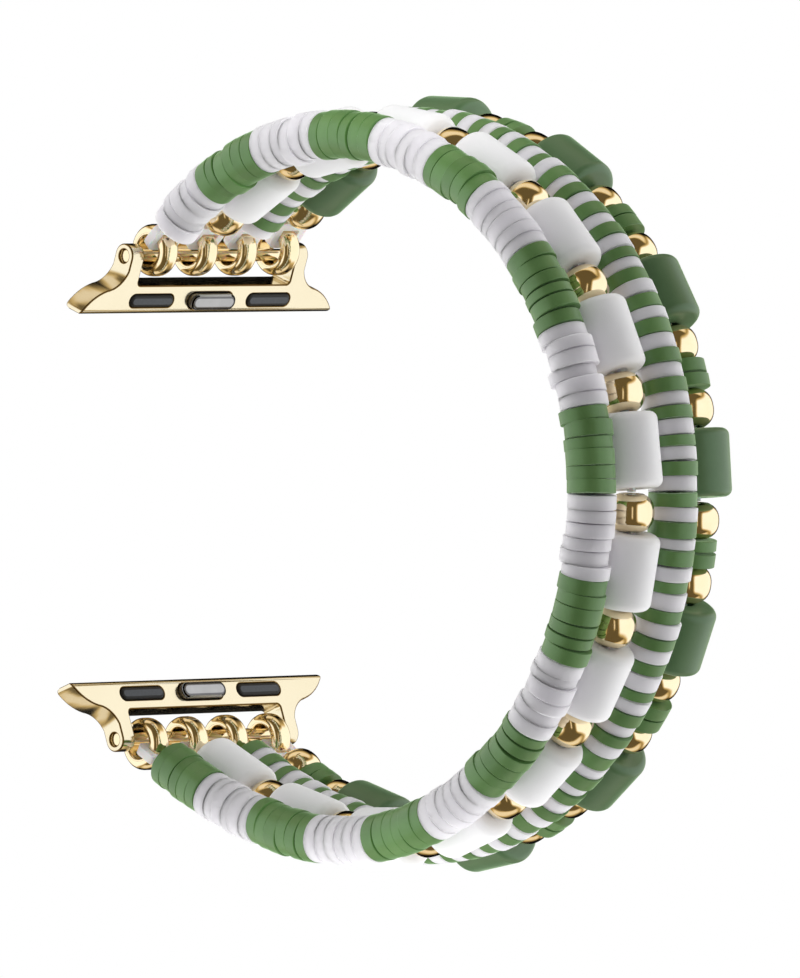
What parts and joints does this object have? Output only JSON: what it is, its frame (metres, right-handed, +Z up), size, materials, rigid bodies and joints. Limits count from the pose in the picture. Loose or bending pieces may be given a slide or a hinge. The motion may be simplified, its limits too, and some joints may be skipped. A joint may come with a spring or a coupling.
{
  "type": "bead watch band",
  "caption": "Watch band of beaded elastic strands, clay discs, barrels and round spacers, whose rings are threaded on two slide-in adapters with lock buttons.",
  "frame": {"origin": "middle of the upper adapter's nose, on the edge that slides into the watch", "axes": "+X from the adapters to the closed side of the loop, +Y across the strands along the nose, +Z up from the nose to its crossbar"},
  "size_m": [0.0554, 0.028, 0.0621],
  "materials": {
    "green_clay": "matte polymer clay",
    "white_clay": "matte polymer clay",
    "green_barrel": "matte",
    "white_barrel": "matte",
    "gold": "polished gold plating",
    "elastic": "clear elastic cord",
    "pad_rubber": "matte",
    "silver": "satin"
  },
  "bodies": {
    "upper_strands": {"elastic_cords_upper": "elastic", "strand_a_green_discs_upper": "green_clay", "strand_a_white_discs_upper": "white_clay", "strand_b_gold_beads_upper": "gold", "strand_c_green_discs_upper": "green_clay", "strand_c_white_discs_upper": "white_clay", "strand_d_gold_beads_upper": "gold", "strand_d_green_discs_upper": "green_clay", "upper_ring_1": "gold", "upper_ring_2": "gold", "upper_ring_3": "gold", "upper_ring_4": "gold"},
    "lower_strands": {"elastic_cords_lower": "elastic", "strand_a_green_discs_lower": "green_clay", "strand_a_white_discs_lower": "white_clay", "strand_b_gold_beads_lower": "gold", "strand_c_green_discs_lower": "green_clay", "strand_c_white_discs_lower": "white_clay", "strand_d_gold_beads_lower": "gold", "strand_d_green_discs_lower": "green_clay", "lower_ring_1": "gold", "lower_ring_2": "gold", "lower_ring_3": "gold", "lower_ring_4": "gold"},
    "upper_adapter": {"upper_adapter_plate": "gold", "upper_crossbar": "gold", "upper_grip_pads": "pad_rubber"},
    "upper_button": {"upper_lock_button": "silver"},
    "lower_adapter": {"lower_adapter_plate": "gold", "lower_crossbar": "gold", "lower_grip_pads": "pad_rubber"},
    "lower_button": {"lower_lock_button": "silver"},
    "white_barrel_01_body": {"white_barrel_01": "white_barrel"},
    "white_barrel_02_body": {"white_barrel_02": "white_barrel"},
    "white_barrel_03_body": {"white_barrel_03": "white_barrel"},
    "white_barrel_04_body": {"white_barrel_04": "white_barrel"},
    "white_barrel_05_body": {"white_barrel_05": "white_barrel"},
    "white_barrel_06_body": {"white_barrel_06": "white_barrel"},
    "white_barrel_07_body": {"white_barrel_07": "white_barrel"},
    "green_barrel_01_body": {"green_barrel_01": "green_barrel"},
    "green_barrel_02_body": {"green_barrel_02": "green_barrel"},
    "green_barrel_03_body": {"green_barrel_03": "green_barrel"},
    "green_barrel_04_body": {"green_barrel_04": "green_barrel"},
    "green_barrel_05_body": {"green_barrel_05": "green_barrel"},
    "white_barrel_08_body": {"white_barrel_08": "white_barrel"},
    "white_barrel_09_body": {"white_barrel_09": "white_barrel"},
    "white_barrel_10_body": {"white_barrel_10": "white_barrel"},
    "white_barrel_11_body": {"white_barrel_11": "white_barrel"},
    "white_barrel_12_body": {"white_barrel_12": "white_barrel"},
    "white_barrel_13_body": {"white_barrel_13": "white_barrel"},
    "white_barrel_14_body": {"white_barrel_14": "white_barrel"},
    "green_barrel_06_body": {"green_barrel_06": "green_barrel"},
    "green_barrel_07_body": {"green_barrel_07": "green_barrel"},
    "green_barrel_08_body": {"green_barrel_08": "green_barrel"},
    "green_barrel_09_body": {"green_barrel_09": "green_barrel"}
  },
  "joints": [
    {"name": "band_flex", "type": "hinge", "parent": "upper_strands", "child": "lower_strands", "pos_m": [0.05071, 0, -0.01388], "axis": [0, 1, 0], "range_deg": [-6, 3], "stiffness_Nm_per_rad": 0.14},
    {"name": "upper_adapter_hinge", "type": "hinge", "parent": "upper_strands", "child": "upper_adapter", "pos_m": [0.00161, 0, 0.00442], "axis": [0, 1, 0], "range_deg": [-65, 40]},
    {"name": "lower_adapter_hinge", "type": "hinge", "parent": "lower_strands", "child": "lower_adapter", "pos_m": [0.00051, 0, -0.03438], "axis": [0, 1, 0], "range_deg": [-40, 65]},
    {"name": "upper_button_press", "type": "slide", "parent": "upper_adapter", "child": "upper_button", "axis": [-0.9397, 0, 0.342], "range_m": [0, 0.00045], "stiffness_N_per_m": 400, "springref_m": -0.0005},
    {"name": "lower_button_press", "type": "slide", "parent": "lower_adapter", "child": "lower_button", "axis": [-0.9397, 0, -0.342], "range_m": [0, 0.00045], "stiffness_N_per_m": 400, "springref_m": -0.0005},
    {"name": "white_barrel_01_spin", "type": "hinge", "parent": "upper_strands", "child": "white_barrel_01_body", "pos_m": [0.05074, -0.0024, -0.01062], "axis": [-0.117, 0, 0.9931], "continuous": true},
    {"name": "white_barrel_02_spin", "type": "hinge", "parent": "upper_strands", "child": "white_barrel_02_body", "pos_m": [0.0482, -0.0024, -0.00184], "axis": [-0.4312, 0, 0.9023], "continuous": true},
    {"name": "white_barrel_03_spin", "type": "hinge", "parent": "upper_strands", "child": "white_barrel_03_body", "pos_m": [0.04297, -0.0024, 0.00564], "axis": [-0.6992, 0, 0.7149], "continuous": true},
    {"name": "white_barrel_04_spin", "type": "hinge", "parent": "upper_strands", "child": "white_barrel_04_body", "pos_m": [0.0356, -0.0024, 0.01104], "axis": [-0.8925, 0, 0.451], "continuous": true},
    {"name": "white_barrel_05_spin", "type": "hinge", "parent": "upper_strands", "child": "white_barrel_05_body", "pos_m": [0.02689, -0.0024, 0.01377], "axis": [-0.9903, 0, 0.1389], "continuous": true},
    {"name": "white_barrel_06_spin", "type": "hinge", "parent": "upper_strands", "child": "white_barrel_06_body", "pos_m": [0.01776, -0.0024, 0.01354], "axis": [-0.9821, 0, -0.1881], "continuous": true},
    {"name": "white_barrel_07_spin", "type": "hinge", "parent": "upper_strands", "child": "white_barrel_07_body", "pos_m": [0.00919, -0.0024, 0.01036], "axis": [-0.8674, 0, -0.4976], "continuous": true},
    {"name": "green_barrel_01_spin", "type": "hinge", "parent": "upper_strands", "child": "green_barrel_01_body", "pos_m": [0.04901, 0.00685, -0.01175], "axis": [-0.0755, 0, 0.9971], "continuous": true},
    {"name": "green_barrel_02_spin", "type": "hinge", "parent": "upper_strands", "child": "green_barrel_02_body", "pos_m": [0.04474, 0.00685, 0.00119], "axis": [-0.5329, 0, 0.8462], "continuous": true},
    {"name": "green_barrel_03_spin", "type": "hinge", "parent": "upper_strands", "child": "green_barrel_03_body", "pos_m": [0.03492, 0.00685, 0.01063], "axis": [-0.8666, 0, 0.4989], "continuous": true},
    {"name": "green_barrel_04_spin", "type": "hinge", "parent": "upper_strands", "child": "green_barrel_04_body", "pos_m": [0.02182, 0.00685, 0.01438], "axis": [-0.9994, 0, 0.0359], "continuous": true},
    {"name": "green_barrel_05_spin", "type": "hinge", "parent": "upper_strands", "child": "green_barrel_05_body", "pos_m": [0.00847, 0.00685, 0.01109], "axis": [-0.8396, 0, -0.5432], "continuous": true},
    {"name": "white_barrel_08_spin", "type": "hinge", "parent": "lower_strands", "child": "white_barrel_08_body", "pos_m": [0.05027, -0.0024, -0.0199], "axis": [-0.2154, 0, -0.9765], "continuous": true},
    {"name": "white_barrel_09_spin", "type": "hinge", "parent": "lower_strands", "child": "white_barrel_09_body", "pos_m": [0.04687, -0.0024, -0.02839], "axis": [-0.5194, 0, -0.8545], "continuous": true},
    {"name": "white_barrel_10_spin", "type": "hinge", "parent": "lower_strands", "child": "white_barrel_10_body", "pos_m": [0.0409, -0.0024, -0.03532], "axis": [-0.7677, 0, -0.6408], "continuous": true},
    {"name": "white_barrel_11_spin", "type": "hinge", "parent": "lower_strands", "child": "white_barrel_11_body", "pos_m": [0.03301, -0.0024, -0.03995], "axis": [-0.9336, 0, -0.3582], "continuous": true},
    {"name": "white_barrel_12_spin", "type": "hinge", "parent": "lower_strands", "child": "white_barrel_12_body", "pos_m": [0.02405, -0.0024, -0.04179], "axis": [-0.9993, 0, -0.0373], "continuous": true},
    {"name": "white_barrel_13_spin", "type": "hinge", "parent": "lower_strands", "child": "white_barrel_13_body", "pos_m": [0.01495, -0.0024, -0.0407], "axis": [-0.9674, 0, 0.2531], "continuous": true},
    {"name": "white_barrel_14_spin", "type": "hinge", "parent": "lower_strands", "child": "white_barrel_14_body", "pos_m": [0.00646, -0.0024, -0.03762], "axis": [-0.9055, 0, 0.4243], "continuous": true},
    {"name": "green_barrel_06_spin", "type": "hinge", "parent": "lower_strands", "child": "green_barrel_06_body", "pos_m": [0.04675, 0.00685, -0.02517], "axis": [-0.3989, 0, -0.917], "continuous": true},
    {"name": "green_barrel_07_spin", "type": "hinge", "parent": "lower_strands", "child": "green_barrel_07_body", "pos_m": [0.03861, 0.00685, -0.03587], "axis": [-0.7771, 0, -0.6293], "continuous": true},
    {"name": "green_barrel_08_spin", "type": "hinge", "parent": "lower_strands", "child": "green_barrel_08_body", "pos_m": [0.02645, 0.00685, -0.0416], "axis": [-0.9799, 0, -0.1995], "continuous": true},
    {"name": "green_barrel_09_spin", "type": "hinge", "parent": "lower_strands", "child": "green_barrel_09_body", "pos_m": [0.01301, 0.00685, -0.04109], "axis": [-0.9627, 0, 0.2705], "continuous": true}
  ]
}
